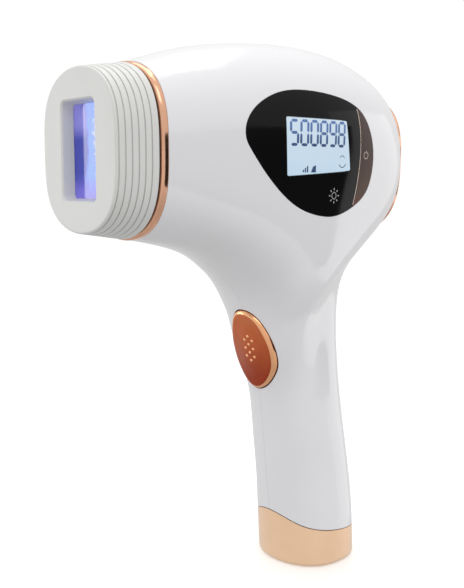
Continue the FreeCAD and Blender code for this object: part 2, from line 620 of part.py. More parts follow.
def make_flash_power():
    x, y, z = CAP_AT
    can = rod(CAP_R, (x - CAP_HALF, y, z), (x + CAP_HALF, y, z))
    can = try_fillet(can, 1.2, lambda e: e.Curve.TypeId == "Part::GeomCircle")
    legs = [rod(0.6, (x + CAP_HALF - 1, y + t, z), (x + CAP_HALF + 4, y + t, z)) for t in (-4, 4)]
    keep("hv_capacitor", fuse_all([can] + legs))
    clip = pipe(CAP_R + CLIP_WALL, CAP_R + 0.02, (x - CLIP_HALF, y, z), (x + CLIP_HALF, y, z))
    foot = box(x - CLIP_HALF, x + CLIP_HALF, y + 12.6, 22.2, z - 4, z + 4)
    keep("capacitor_clip", fuse_all([clip, foot]))
    core = box(-57.0, -47.0, -6.0, 6.0, 122.0, 132.0)
    pins = [rod(0.5, (-47.0, s * 3.5, 126.5), (-43.5, s * 3.5, 126.5)) for s in (-1, 1)]
    keep("trigger_transformer", fuse_all([core] + pins))


def make_main_board():
    top = BOARD_Y + BOARD_THICK
    board = box(BOARD_X0, BOARD_X1, BOARD_Y, top, BOARD_Z0, BOARD_Z1)
    for z in BOARD_SCREWS:
        board = board.cut(rod(1.0, (SCREW_X, BOARD_Y - 1, z), (SCREW_X, top + 0.4, z)))
    keep("main_board", board)
    lower = box(-10.5, 1.0, top, top + 1.6, 62.0, 78.0)
    upper = box(-10.5, 1.0, top + 2.8, top + 4.3, 62.0, 78.0)
    winding = rod(4.8, (SCREW_X, top, 70.0), (SCREW_X, top + 4.3, 70.0))
    keep("charge_transformer", fuse_all([lower, upper, winding]))
    places = ((-7.0, 36.5), (0.0, 38.5), (-7.5, 45.0))
    keep("board_capacitors", Part.makeCompound([rod(3.2, (x, top, z), (x, top + 5.0, z)) for x, z in places]))
    fins = [box(-12.0, -2.0, top, top + 1.4, 80.0, 94.0)]
    for k in range(4):
        x = -12.0 + 3.0 * k
        fins.append(box(x, x + 1.0, top, top + 3.8, 80.0, 94.0))
    keep("heat_sink", fuse_all(fins))
    chips = [box(-9.5, -3.5, 1.6, BOARD_Y, 50.0, 56.0), box(-8.5, -0.5, 1.2, BOARD_Y, 84.0, 92.0),
             box(-7.5, 0.5, 1.6, BOARD_Y, 66.0, 74.0)]
    keep("control_chips", Part.makeCompound(chips))
    screws = []
    for z in BOARD_SCREWS:
        shank = rod(0.9, (SCREW_X, 1.0, z), (SCREW_X, top, z))
        screws.append(fuse_all([shank, rod(1.9, (SCREW_X, top, z), (SCREW_X, top + 1.2, z))]))
    keep("board_screws", Part.makeCompound(screws))


def make_inlet():
    shell = rod(JACK_R, (0, 0, JACK_Z0), (0, 0, JACK_Z1))
    keep("dc_jack", shell.cut(rod(JACK_BORE, (0, 0, -1), (0, 0, JACK_Z1 - 2.5))))
    keep("dc_jack_pin", rod(1.05, (0, 0, JACK_Z0 + 2.0), (0, 0, JACK_Z1 - 2.5)))


def lead(points, r):
    """A wire along straight runs with round joints."""
    pieces = [rod(r, a, b) for a, b in zip(points, points[1:])]
    pieces += [Part.makeSphere(r, V(*p)) for p in points[1:-1]]
    return fuse_all(pieces)


def pair(path, r):
    """Two wires whose paths are given by a function of the side, -1 or 1."""
    return Part.makeCompound([lead(path(s), r) for s in (-1, 1)])


def make_leads():
    keep("dc_leads", pair(lambda s: [(s * 2.0 - 1.0, -2.0, JACK_Z1), (s * 2.0 - 1.0, -2.0, 30.0),
                                     (s * 2.0 - 3.0, -1.0, 38.0), (s * 2.0 - 3.0, 2.0, 42.0)], 0.7))
    keep("fan_leads", pair(lambda s: [(1.2, s * 1.2 - 8.0, 137.0), (-2.0, s * 1.2 - 8.0, 120.0),
                                      (-3.0, s * 1.2 - 4.0, 104.0), (-5.0 + s, s * 1.2 - 1.0, 96.0),
                                      (-5.0 + s, 2.2, 95.0)], 0.55))
    keep("lamp_leads", pair(lambda s: [(-63.4, s * 11.0, HEAD_Z - 2.6), (-60.0, s * 11.0, HEAD_Z - 6.0),
                                       (-52.0, s * 10.0, 134.0), (-40.0, s * 8.0, 120.0),
                                       (-39.0, s * 6.0, 112.0)], 0.9))
    keep("display_ribbon", box(-20.0, -10.0, -17.4, -17.0, 121.0, 136.0))


def main():
    os.makedirs(PARTS, exist_ok=True)
    make_case()
    make_trigger()
    make_front_ring()
    make_cartridge_shell()
    make_glass(FACE_X + WINDOW_DEPTH + 0.05)
    make_lamp()
    make_plug()
    make_socket()
    make_rear()
    make_fan()
    make_display()
    make_flash_power()
    make_main_board()
    make_inlet()
    make_leads()
    for name, shape in sorted(NODES.items()):
        b = shape.BoundBox
        print("%-20s solids %d vol %9.1f  x %.1f..%.1f y %.1f..%.1f z %.1f..%.1f" % (
            name, len(shape.Solids), shape.Volume, b.XMin, b.XMax, b.YMin, b.YMax, b.ZMin, b.ZMax))


main()
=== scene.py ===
"""IPL hair remover: looks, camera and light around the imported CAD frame. Metres, +Z up."""
import json
import math

import bmesh
import bpy
import numpy as np
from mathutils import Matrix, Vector, geometry
from mathutils.bvhtree import BVHTree


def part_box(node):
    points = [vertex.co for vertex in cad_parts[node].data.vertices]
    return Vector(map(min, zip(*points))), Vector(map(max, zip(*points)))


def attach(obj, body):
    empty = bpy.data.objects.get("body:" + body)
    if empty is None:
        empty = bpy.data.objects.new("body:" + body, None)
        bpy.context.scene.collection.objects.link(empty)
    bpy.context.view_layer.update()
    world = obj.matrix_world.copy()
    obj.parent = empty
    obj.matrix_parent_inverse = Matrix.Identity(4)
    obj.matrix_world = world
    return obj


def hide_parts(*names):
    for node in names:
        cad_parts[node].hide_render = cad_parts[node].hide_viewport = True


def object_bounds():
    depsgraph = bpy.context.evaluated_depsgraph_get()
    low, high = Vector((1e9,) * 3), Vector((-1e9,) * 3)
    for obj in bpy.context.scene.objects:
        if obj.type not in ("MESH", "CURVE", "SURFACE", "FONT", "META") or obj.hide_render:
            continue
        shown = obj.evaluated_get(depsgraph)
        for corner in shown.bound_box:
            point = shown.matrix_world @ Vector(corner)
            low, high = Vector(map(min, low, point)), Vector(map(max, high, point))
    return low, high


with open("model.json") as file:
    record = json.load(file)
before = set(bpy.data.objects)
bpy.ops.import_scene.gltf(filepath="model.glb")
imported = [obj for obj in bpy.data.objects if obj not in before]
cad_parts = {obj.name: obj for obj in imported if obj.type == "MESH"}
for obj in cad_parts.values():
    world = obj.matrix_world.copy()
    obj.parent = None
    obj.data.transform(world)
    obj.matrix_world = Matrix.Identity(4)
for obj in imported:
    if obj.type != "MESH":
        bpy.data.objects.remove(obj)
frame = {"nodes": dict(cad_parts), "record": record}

CAD_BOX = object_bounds()
NODES = frame["nodes"]

# ---- camera -------------------------------------------------------------------------------------
CAMERA_AT = Vector((-0.2201, -0.2176, 0.1389))
CAMERA_LOOK = Vector((0.63704, 0.75919, -0.13347))
CAMERA_LENS, CAMERA_SENSOR = 51.8, 36.0


def make_camera():
    data = bpy.data.cameras.new("camera")
    data.lens = CAMERA_LENS
    data.sensor_width = CAMERA_SENSOR
    data.clip_start = 0.01
    data.clip_end = 60.0
    camera = bpy.data.objects.new("camera", data)
    camera.location = CAMERA_AT
    camera.rotation_euler = CAMERA_LOOK.to_track_quat("-Z", "Y").to_euler()
    bpy.context.scene.collection.objects.link(camera)
    bpy.context.scene.camera = camera


make_camera()

# ---- node helpers -------------------------------------------------------------------------------


class Nodes:
    """A short way to add and join shader nodes in one tree."""

    def __init__(self, tree):
        self.tree = tree
        self.coords = None

    def add(self, kind, values=None, **settings):
        node = self.tree.nodes.new(kind)
        for key, value in settings.items():
            setattr(node, key, value)
        for key, value in (values or {}).items():
            self.put(node.inputs[key], value)
        return node

    def put(self, socket, value):
        if isinstance(value, bpy.types.NodeSocket):
            self.tree.links.new(value, socket)
        elif isinstance(value, (tuple, list)) and socket.type == "RGBA" and len(value) == 3:
            socket.default_value = (*value, 1.0)
        else:
            socket.default_value = value

    def place(self):
        """The object's own coordinates, in metres."""
        if self.coords is None:
            self.coords = self.add("ShaderNodeTexCoord").outputs["Object"]
        return self.coords

    def math(self, operation, a, b=0.0, clamp=False):
        node = self.add("ShaderNodeMath", operation=operation, use_clamp=clamp)
        self.put(node.inputs[0], a)
        self.put(node.inputs[1], b)
        return node.outputs[0]

    def stretched(self, scale):
        return self.add("ShaderNodeMapping", {"Vector": self.place(), "Scale": scale}).outputs[0]

    def noise(self, size, detail=3.0, rough=0.55, vector=None):
        """Cloudy noise whose features are about size metres across."""
        values = {"Vector": vector or self.place(), "Scale": 1.0 / size, "Detail": detail, "Roughness": rough}
        return self.add("ShaderNodeTexNoise", values).outputs["Fac"]

    def cells(self, size, feature="F1", output="Distance", vector=None):
        node = self.add("ShaderNodeTexVoronoi", {"Vector": vector or self.place(), "Scale": 1.0 / size},
                        feature=feature)
        return node.outputs[output]

    def span(self, value, low, high, to_low=0.0, to_high=1.0, smooth=False):
        values = {"Value": value, "From Min": low, "From Max": high, "To Min": to_low, "To Max": to_high}
        node = self.add("ShaderNodeMapRange", values, clamp=True)
        if smooth:
            node.interpolation_type = "SMOOTHSTEP"
        return node.outputs["Result"]

    def mix(self, factor, a, b, blend="MIX"):
        node = self.add("ShaderNodeMix", data_type="RGBA", blend_type=blend)
        self.put(node.inputs[0], factor)
        self.put(node.inputs[6], a)
        self.put(node.inputs[7], b)
        return node.outputs[2]

    def axis(self, name):
        return self.add("ShaderNodeSeparateXYZ", {"Vector": self.place()}).outputs[name]

    def edge(self, radius):
        """(normal of softly rounded edges, mask that is 1 on sharp edges)."""
        bevel = self.add("ShaderNodeBevel", {"Radius": radius}, samples=6).outputs[0]
        true = self.add("ShaderNodeNewGeometry").outputs["Normal"]
        dot = self.add("ShaderNodeVectorMath", {0: bevel, 1: true}, operation="DOT_PRODUCT").outputs["Value"]
        return bevel, self.span(dot, 0.995, 0.90)

    def bump(self, height, distance, strength=1.0, normal=None):
        values = {"Height": height, "Distance": distance, "Strength": strength}
        if normal is not None:
            values["Normal"] = normal
        return self.add("ShaderNodeBump", values).outputs[0]


def spread(colour, tint):
    """The colour a little darker, and a little lighter."""
    return [c * (1.0 - tint) for c in colour], [min(1.0, c * (1.0 + tint)) for c in colour]


def start_material(name, **sockets):
    """A new Principled material: (material, Nodes, shader)."""
    material = bpy.data.materials.new(name)
    material.use_nodes = True
    nodes = Nodes(material.node_tree)
    shader = next(n for n in material.node_tree.nodes if n.type == "BSDF_PRINCIPLED")
    for key, value in sockets.items():
        nodes.put(shader.inputs[key.replace("_", " ")], value)
    return material, nodes, shader


def moulded(name, colour, rough, tint=0.04, grain=0.0006, depth=6e-6, edge_darkening=0.25, edge=0.00025, **sockets):
    """Moulded plastic or paint: cloudy tint, fine grain, handling marks, softened edges, and colour darker
    along sharp edges and creases.
    """
    material, n, shader = start_material(name, **sockets)
    normal, edges = n.edge(edge)
    cloud = n.noise(0.03, 2.0)
    shade = n.mix(n.span(cloud, 0.3, 0.7), *spread(colour, tint))
    # colour made darker along sharp edges and creases
    edge_darkened = n.mix(n.math("MULTIPLY", edges, edge_darkening), shade, [c * 0.72 for c in colour])
    n.put(shader.inputs["Base Color"], edge_darkened)
    smears = n.noise(0.011, 4.0, 0.6, n.stretched((1.0, 1.0, 0.45)))
    fine = n.noise(0.0011, 2.0)
    marks = n.math("ADD", n.span(smears, 0.35, 0.75, -0.02, 0.035), n.span(fine, 0.3, 0.7, -0.006, 0.006))
    dull = n.math("ADD", n.math("ADD", marks, rough), n.math("MULTIPLY", edges, 0.08), clamp=True)
    n.put(shader.inputs["Roughness"], dull)
    n.put(shader.inputs["Normal"], n.bump(n.noise(grain, 2.0), depth, 1.0, normal))
    return material


def metal(name, colour, rough, brushed=(1.0, 1.0, 1.0), tint=0.05, depth=3e-6, edge=0.0002, bright=0.3,
          metallic=1.0, **sockets):
    """Plated or bare metal: drawn grain along one axis, faint tarnish, and a painted highlight that makes its
    edges brighter.
    """
    material, n, shader = start_material(name, Metallic=metallic, **sockets)
    normal, edges = n.edge(edge)
    tarnish = n.noise(0.009, 4.0, 0.6)
    shade = n.mix(n.span(tarnish, 0.35, 0.7), *spread(colour, tint))
    # painted highlight: edges lighter than the metal's own colour
    lit = n.mix(n.math("MULTIPLY", edges, bright), shade, [min(1.0, c * 1.35) for c in colour])
    n.put(shader.inputs["Base Color"], lit)
    grain = n.noise(0.0005, 3.0, 0.6, n.stretched(brushed))
    smear = n.noise(0.014, 3.0)
    drawn = n.span(grain, 0.3, 0.7, rough * 0.85, rough * 1.15)
    dull = n.math("ADD", drawn, n.span(smear, 0.4, 0.75, 0.0, 0.03))
    n.put(shader.inputs["Roughness"], dull)
    n.put(shader.inputs["Normal"], n.bump(grain, depth, 1.0, normal))
    return material


def assign(node, material):
    slots = NODES[node].material_slots
    if not len(slots):
        raise RuntimeError(node + " has no material slot")
    for slot in slots:
        slot.material = material


# ---- materials ----------------------------------------------------------------------------------
WHITE = (0.80, 0.795, 0.815)
SATIN = (0.70, 0.70, 0.68)
ROSE = (0.83, 0.46, 0.30)
PEACH = (1.0, 0.66, 0.42)
# painted shade: the trigger's copper where shaded, towards its lower end, and where lit, towards its top
COPPER_SHADED, COPPER_LIT = (0.38, 0.042, 0.008), (0.74, 0.19, 0.055)
INK_DARK, INK_PALE = (0.030, 0.055, 0.12), (0.085, 0.15, 0.32)
TURNS_Y, TURN_PITCH = (0.0068, 0.0096), 0.00035      # where the copper turns show, and their spacing


def glass_material():
    """The filter's coating: deep blue, then bright blue, then pale and frosted at the far side, with a
    painted pink reflection near the top and a painted glow though it is no lamp.
    """
    material, n, shader = start_material("filter_glass_coat", Roughness=0.08, IOR=1.5, Coat_Weight=0.5,
                                         Coat_Roughness=0.04, Emission_Strength=0.50)
    low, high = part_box("filter_glass")
    across = n.span(n.axis("Y"), high.y - 0.0016, low.y + 0.0016)
    up = n.span(n.axis("Z"), low.z + 0.0017, high.z - 0.0017)
    ripple = n.noise(0.005, 3.0, 0.55, n.stretched((1.0, 1.0, 0.4)))
    wave = n.math("ADD", across, n.span(ripple, 0.3, 0.7, -0.13, 0.13))
    middle = n.span(wave, 0.34, 0.52, smooth=True)
    blue = n.mix(middle, (0.020, 0.030, 0.30), (0.075, 0.19, 0.85))
    speckle = n.span(n.noise(0.0011, 2.0), 0.3, 0.7, -0.12, 0.12)
    frost = n.span(n.math("ADD", wave, speckle), 0.66, 0.86, smooth=True)
    pale = n.mix(frost, blue, (0.34, 0.40, 0.86))
    violet = n.mix(n.span(up, 0.30, 0.04, smooth=True), pale, (0.12, 0.10, 0.50))
    # painted reflection: a pink tint on the upper part of the deep blue side
    painted_pink_reflection = n.math("MULTIPLY", n.span(wave, 0.52, 0.25, smooth=True), n.span(up, 0.60, 0.78, smooth=True))
    colour = n.mix(n.math("MULTIPLY", painted_pink_reflection, 0.7), violet, (0.24, 0.22, 0.62))
    n.put(shader.inputs["Base Color"], colour)
    # painted glow: the coating emits its own colour though it is no lamp
    n.put(shader.inputs["Emission Color"], colour)
    n.put(shader.inputs["Normal"], n.bump(n.noise(0.0014, 2.0), 1.2e-5))
    return material


def lcd_material():
    """A backlit pane: pale blue, lighter towards the top, with a faint pixel grid."""
    material, n, shader = start_material("lcd_glow", Roughness=0.22, IOR=1.45, Specular_IOR_Level=0.2,
                                         Emission_Strength=0.55)
    low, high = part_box("lcd_pane")
    up = n.span(n.axis("Z"), low.z, high.z)
    cloud = n.span(n.noise(0.010, 2.0), 0.3, 0.7, -0.10, 0.10)
    colour = n.mix(n.math("ADD", up, cloud, clamp=True), (0.60, 0.78, 0.93), (0.70, 0.83, 0.93))
    n.put(shader.inputs["Base Color"], n.mix(0.72, colour, (0.10, 0.12, 0.15)))
    n.put(shader.inputs["Emission Color"], colour)
    n.put(shader.inputs["Normal"], n.bump(n.cells(0.00035), 3e-6))
    return material


def ink_material():
    """The display's segments: slate blue, paler towards the top, with their liquid's soft mottle."""
    material, n, shader = start_material("lcd_ink", Roughness=0.3, Specular_IOR_Level=0.2,
                                         Emission_Strength=0.45)
    low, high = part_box("lcd_pane")
    up = n.span(n.axis("Z"), low.z + 0.0095, high.z - 0.003, smooth=True)
    mottle = n.span(n.noise(0.0012, 2.0), 0.3, 0.7, -0.15, 0.15)
    colour = n.mix(n.math("ADD", up, mottle, clamp=True), INK_DARK, INK_PALE)
    n.put(shader.inputs["Base Color"], colour)
    n.put(shader.inputs["Emission Color"], colour)
    return material


def key_material():
    """The crescent key: dark brown lacquer over bronze that turns golden towards its lower end."""
    material, n, shader = start_material("bronze_key", Metallic=0.7, Coat_Weight=0.15, Coat_Roughness=0.06)
    low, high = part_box("power_button")
    up = n.span(n.axis("Z"), low.z, high.z)
    cloud = n.span(n.noise(0.006, 3.0), 0.3, 0.7, -0.08, 0.08)
    tone = n.span(n.math("ADD", up, cloud), 0.62, 0.12, smooth=True)
    colour = n.mix(tone, (0.045, 0.020, 0.014), (0.065, 0.030, 0.015))
    red = n.mix(n.span(up, 0.14, 0.02, smooth=True), colour, (0.10, 0.016, 0.009))
    n.put(shader.inputs["Base Color"], red)
    n.put(shader.inputs["Roughness"], n.span(n.noise(0.0016, 3.0), 0.3, 0.7, 0.24, 0.34))
    n.put(shader.inputs["Normal"], n.bump(n.noise(0.0006, 2.0), 4e-6, 1.0, n.edge(0.0003)[0]))
    return material


def copper_material():
    """The trigger's copper lacquer over bright plating, with painted shade: darker and deeper red towards its
    lower end, lighter towards its top.
    """
    material, n, shader = start_material("copper_lacquer", Metallic=1.0, Coat_Weight=0.35,
                                         Coat_Roughness=0.04)
    low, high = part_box("trigger_button")
    up = n.span(n.axis("Z"), low.z, high.z)
    cloud = n.span(n.noise(0.005, 3.0), 0.3, 0.7, -0.06, 0.06)
    # painted shade: the colour runs from lit at the top to shaded at the lower end
    tone = n.span(n.math("ADD", up, cloud), 0.15, 0.95)
    n.put(shader.inputs["Base Color"], n.mix(tone, COPPER_SHADED, COPPER_LIT))
    grain = n.noise(0.0006, 2.0)
    n.put(shader.inputs["Roughness"], n.span(grain, 0.3, 0.7, 0.12, 0.17))
    n.put(shader.inputs["Normal"], n.bump(grain, 1e-6, 1.0, n.edge(0.0002)[0]))
    return material


def board_material():
    """Green circuit board: solder mask over copper tracks, with fibre grain and tinned pads."""
    material, n, shader = start_material("circuit_board_mask", IOR=1.5, Coat_Weight=0.3, Coat_Roughness=0.15)
    tracks = n.cells(0.0034, "DISTANCE_TO_EDGE")
    lines = n.span(tracks, 0.05, 0.09)
    mask = n.mix(lines, (0.055, 0.22, 0.085), (0.018, 0.105, 0.045))
    pads = n.span(n.cells(0.0052), 0.16, 0.13)
    colour = n.mix(pads, mask, (0.62, 0.62, 0.60))
    n.put(shader.inputs["Base Color"], colour)
    n.put(shader.inputs["Metallic"], pads)
    n.put(shader.inputs["Roughness"], n.span(n.noise(0.002), 0.3, 0.7, 0.26, 0.42))
    weave = n.noise(0.0006, 2.0)
    height = n.math("ADD", n.math("MULTIPLY", lines, -0.6), n.math("MULTIPLY", weave, 0.3))
    n.put(shader.inputs["Normal"], n.bump(height, 3e-5))
    return material


def wound_material():
    """Ferrite core with lacquered copper turns round the middle of its winding."""
    material, n, shader = start_material("ferrite_and_turns")
    depth = n.span(n.axis("Y"), *TURNS_Y)
    band = n.math("MULTIPLY", n.math("GREATER_THAN", depth, 0.001), n.math("LESS_THAN", depth, 0.999))
    turns = n.math("SINE", n.math("MULTIPLY", n.axis("Y"), 2.0 * math.pi / TURN_PITCH))
    specks = n.span(n.noise(0.0009, 3.0), 0.35, 0.7)
    core = n.mix(specks, (0.035, 0.035, 0.038), (0.075, 0.073, 0.072))
    copper = n.mix(n.span(turns, -1.0, 1.0), (0.35, 0.11, 0.04), (0.72, 0.30, 0.13))
    n.put(shader.inputs["Base Color"], n.mix(band, core, copper))
    rough = n.math("ADD", n.math("MULTIPLY", band, -0.35), n.span(specks, 0, 1, 0.58, 0.7))
    n.put(shader.inputs["Roughness"], rough)
    height = n.math("ADD", n.math("MULTIPLY", turns, band), n.math("MULTIPLY", specks, 0.4))
    n.put(shader.inputs["Normal"], n.bump(height, 4e-5))
    return material


def sleeve_material():
    """A capacitor's shrunk plastic sleeve with its bare crimped end showing."""
    material, n, shader = start_material("capacitor_sleeve", IOR=1.5)
    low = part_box("hv_capacitor")[0]
    sleeved = n.span(n.axis("X"), low.x + 0.0008, low.x + 0.0012)
    wrinkle = n.noise(0.004, 3.0, 0.6, n.stretched((0.4, 1.0, 1.0)))
    sleeve = n.mix(n.span(wrinkle, 0.3, 0.7), (0.012, 0.016, 0.035), (0.022, 0.028, 0.055))
    n.put(shader.inputs["Base Color"], n.mix(sleeved, (0.6, 0.6, 0.61), sleeve))
    n.put(shader.inputs["Metallic"], n.math("SUBTRACT", 1.0, sleeved))
    n.put(shader.inputs["Roughness"], n.span(wrinkle, 0.3, 0.7, 0.28, 0.42))
    n.put(shader.inputs["Normal"], n.bump(wrinkle, 6e-5))
    return material


def lamp_material():
    """Quartz lamp: clear wall with a pale violet charge of light inside."""
    material, n, shader = start_material("lamp_quartz", Roughness=0.05, IOR=1.46, Transmission_Weight=0.65)
    streak = n.noise(0.004, 2.0, 0.5, n.stretched((1.0, 1.0, 0.15)))
    tint = n.mix(n.span(streak, 0.3, 0.7), (0.72, 0.80, 1.0), (0.90, 0.92, 1.0))
    n.put(shader.inputs["Base Color"], tint)
    n.put(shader.inputs["Emission Color"], (0.35, 0.42, 1.0))
    n.put(shader.inputs["Emission Strength"], 0.6)
    n.put(shader.inputs["Normal"], n.bump(streak, 1e-5))
    return material


WHITE_SHELL = moulded("white_gloss_shell", WHITE, 0.17, tint=0.010, grain=0.0022, depth=4e-6, edge_darkening=0.35,
                      IOR=1.5, Coat_Weight=0.6, Coat_Roughness=0.05, Coat_IOR=1.5)
CART_WHITE = moulded("white_satin_cartridge", SATIN, 0.44, tint=0.012, grain=0.0005, depth=8e-6, edge_darkening=0.3,
                     IOR=1.5)
ROSE_RING = metal("rose_gold_plating", ROSE, 0.09, brushed=(0.05, 1.0, 1.0), tint=0.06, edge=0.0004,
                  depth=1e-6)
PEACH_FOOT = metal("peach_gold_lacquer", PEACH, 0.32, brushed=(1.0, 1.0, 0.5), tint=0.025, depth=2e-7,
                   bright=0.1, metallic=0.35, Coat_Weight=0.6, Coat_Roughness=0.05)
COPPER_RED = copper_material()
# painted highlight: a lighter copy of the copper for the pad's rim and its dots
COPPER_RIM_HIGHLIGHT = metal("copper_rim_highlight", (1.0, 0.50, 0.26), 0.10, tint=0.06, depth=5e-7, bright=0.3)
BLACK_LENS = moulded("black_gloss_lens", (0.0055, 0.0055, 0.006), 0.08, tint=0.1, grain=0.002, depth=1e-6,
                     edge_darkening=0.2, Specular_IOR_Level=0.17, IOR=1.45)
SILVER_INK = moulded("silver_print", (0.42, 0.42, 0.43), 0.4, tint=0.05, grain=0.0004, depth=4e-6)
GOLD_LINE = metal("gold_trim", (0.75, 0.60, 0.52), 0.2, tint=0.1)
BLACK_PLASTIC = moulded("black_plastic", (0.018, 0.018, 0.019), 0.45, tint=0.12, grain=0.0004, depth=2e-5)
GREY_PLASTIC = moulded("grey_plastic", (0.30, 0.31, 0.32), 0.42, tint=0.06, grain=0.0005, depth=1.6e-5)
SILICONE = moulded("black_silicone", (0.022, 0.021, 0.022), 0.62, tint=0.15, grain=0.0003, depth=2.5e-5)
STEEL = metal("zinc_steel", (0.62, 0.62, 0.60), 0.28, brushed=(1.0, 0.2, 1.0))
ALUMINIUM = metal("bright_aluminium", (0.82, 0.83, 0.85), 0.20, brushed=(1.0, 1.0, 0.05))
BRASS = metal("nickelled_brass", (0.80, 0.62, 0.36), 0.24, brushed=(0.2, 1.0, 1.0))
WIRE = moulded("wire_sleeve", (0.42, 0.03, 0.025), 0.38, tint=0.08, grain=0.0006, depth=1.5e-5)
WIRE_DARK = moulded("wire_sleeve_dark", (0.03, 0.03, 0.035), 0.38, tint=0.08, grain=0.0006, depth=1.5e-5)
CERAMIC = moulded("lamp_ceramic", (0.72, 0.70, 0.65), 0.5, tint=0.05, grain=0.0003, depth=2e-5)
RIBBON = moulded("ribbon_polyimide", (0.50, 0.20, 0.03), 0.3, tint=0.1, grain=0.0008, depth=2e-5)

LOOKS = {
    "left_shell": WHITE_SHELL, "right_shell": WHITE_SHELL, "foot_cap": PEACH_FOOT,
    "front_ring": ROSE_RING, "seal_ring": SILICONE, "rear_ring": ROSE_RING, "rear_grille": GREY_PLASTIC,
    "shell_screws": STEEL, "display_lens": BLACK_LENS, "lcd_pane": lcd_material(),
    "lcd_backlight": CERAMIC, "display_board": board_material(), "power_switch": BLACK_PLASTIC,
    "power_button": key_material(), "trigger_button": COPPER_RED, "trigger_switch": BLACK_PLASTIC,
    "cartridge_shell": CART_WHITE, "filter_glass": glass_material(), "glass_frame": BLACK_PLASTIC,
    "reflector": ALUMINIUM, "lamp_tube": lamp_material(), "lamp_electrodes": STEEL,
    "lamp_holders": CERAMIC, "cartridge_base": GREY_PLASTIC, "cartridge_contacts": BRASS,
    "cartridge_socket": BLACK_PLASTIC, "socket_contacts": BRASS, "fan_frame": BLACK_PLASTIC,
    "fan_rotor": BLACK_PLASTIC, "hv_capacitor": sleeve_material(), "capacitor_clip": GREY_PLASTIC,
    "trigger_transformer": RIBBON, "charge_transformer": wound_material(),
    "board_capacitors": sleeve_material(), "heat_sink": ALUMINIUM, "control_chips": BLACK_PLASTIC,
    "board_screws": STEEL, "dc_jack": BLACK_PLASTIC, "dc_jack_pin": BRASS, "dc_leads": WIRE,
    "fan_leads": WIRE_DARK, "lamp_leads": WIRE, "display_ribbon": RIBBON,
}
LOOKS["main_board"] = LOOKS["trigger_board"] = LOOKS["display_board"]
for node_name, look in LOOKS.items():
    assign(node_name, look)


# ---- mesh helpers -------------------------------------------------------------------------------
def piece(name, verts, faces, material, body, smooth=True):
    """A new visible piece that rides on a body."""
    mesh = bpy.data.meshes.new(name)
    mesh.from_pydata([tuple(v) for v in verts], [], faces)
    mesh.validate()
    mesh.polygons.foreach_set("use_smooth", [smooth] * len(mesh.polygons))
    mesh.materials.append(material)
    obj = bpy.data.objects.new(name, mesh)
    bpy.context.scene.collection.objects.link(obj)
    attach(obj, body)
    return obj


def surface(node):
    """A search tree on a CAD node's mesh, to lay small things on it."""
    mesh = NODES[node].data
    return BVHTree.FromPolygons([v.co[:] for v in mesh.vertices], [p.vertices[:] for p in mesh.polygons])


def ring_faces(rings, count):
    """Quads that join rings of count points each, laid one after another."""
    faces = []
    for r in range(rings - 1):
        for k in range(count):
            a, b = r * count + k, r * count + (k + 1) % count
            faces.append((a, b, b + count, a + count))
    return faces


def bar(a, b, thick, ends=0.5):
    """A stroke from a to b with pointed ends: a polygon of (x, z) points."""
    a, b = Vector(a), Vector(b)
    along = (b - a).normalized()
    side = Vector((-along.y, along.x)) * thick / 2.0
    tip = along * thick * ends
    return [a, a + tip + side, b - tip + side, b, b - tip - side, a + tip - side]


def arc(centre, radius, start, end, steps):
    """Points (x, z) along part of a circle, with angles in degrees."""
    points = []
    for k in range(steps + 1):
        a = math.radians(start + (end - start) * k / steps)
        points.append((centre[0] + radius * math.cos(a), centre[1] + radius * math.sin(a)))
    return points


def stroke(points, thick):
    """Short overlapping bars along a line of points."""
    return [bar(a, b, thick, 0.25) for a, b in zip(points, points[1:])]


def printed(name, shapes, tree, material, body, lift=0.00003, depth=0.0001):
    """Flat marks, given as polygons of (x, z) points, laid on the display side of a surface."""
    verts, faces = [], []
    for shape in shapes:
        first, n = len(verts), len(shape)
        for back in (0.0, depth):
            for x, z in shape:
                hit = tree.ray_cast(Vector((x, -0.06, z)), Vector((0.0, 1.0, 0.0)))[0]
                verts.append((x, hit.y - lift + back, z))
        faces.append(tuple(range(first, first + n)))
        faces.append(tuple(range(first + 2 * n - 1, first + n - 1, -1)))
        for k in range(n):
            m = (k + 1) % n
            faces.append((first + m, first + k, first + n + k, first + n + m))
    obj = piece(name, verts, faces, material, body, smooth=False)
    outward(obj)
    return obj


def outward(obj):
    """Turn a closed piece's faces outwards."""
    bm = bmesh.new()
    bm.from_mesh(obj.data)
    bmesh.ops.recalc_face_normals(bm, faces=bm.faces)
    bm.to_mesh(obj.data)
    bm.free()


# ---- display ------------------------------------------------------------------------------------
LCD_TREE = surface("lcd_pane")
LENS_TREE = surface("display_lens")
KEY_TREE = surface("power_button")
DIGIT_W, DIGIT_H, DIGIT_PITCH = 0.0029, 0.0074, 0.00425
DIGIT_STROKE, DIGIT_SLANT = 0.00092, 0.03
READOUT = "500898"
LCD_FLANGE = 0.0016            # how far the pane runs behind the lens
READOUT_LEFT, READOUT_TOP, SIGNS_UP = 0.0018, 0.0011, 0.0012
BARS_X, BAR_PITCH, BAR_WIDE, BAR_HEIGHTS = 0.0050, 0.0009, 0.00055, (0.0008, 0.0014, 0.0020)
WEDGE_X, WEDGE = 0.0086, [(0.0, 0.0), (0.0022, 0.0), (0.0022, 0.0023), (0.0009, 0.0018)]
SWIRL_X, SWIRL_UP = 0.0236, 0.0036
SEGMENTS = {"0": "abcdef", "5": "acdfg", "8": "abcdefg", "9": "abcdfg"}


